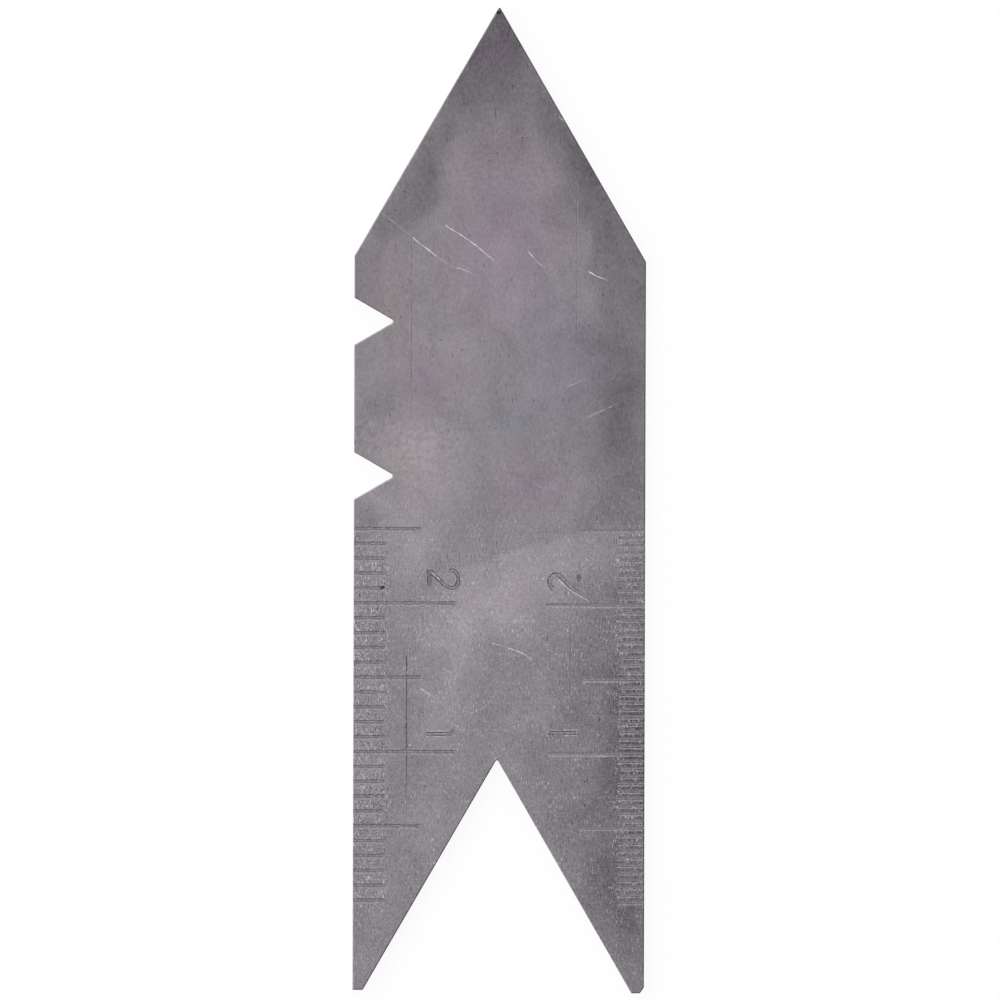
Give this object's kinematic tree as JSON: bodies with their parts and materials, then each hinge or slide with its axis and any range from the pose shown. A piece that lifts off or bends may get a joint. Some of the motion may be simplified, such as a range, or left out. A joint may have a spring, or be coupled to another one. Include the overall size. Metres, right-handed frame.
{
  "type": "center gauge",
  "caption": "Flat steel gauge for setting threading tools: a sharp point at one end, V notches in one edge, a fishtail at the other end, and a millimetre scale along each edge.",
  "frame": {"origin": "under the middle of the strip's box, on the surface that its back rests on", "axes": "+Z out of the marked face, +Y along the strip towards the point, +X across it to the right-hand scale"},
  "size_m": [0.0196, 0.0664, 0.001],
  "materials": {
    "ground_steel": "ground sheet steel, dulled by use"
  },
  "bodies": {
    "root": {"gauge_plate": "ground_steel"}
  },
  "joints": []
}
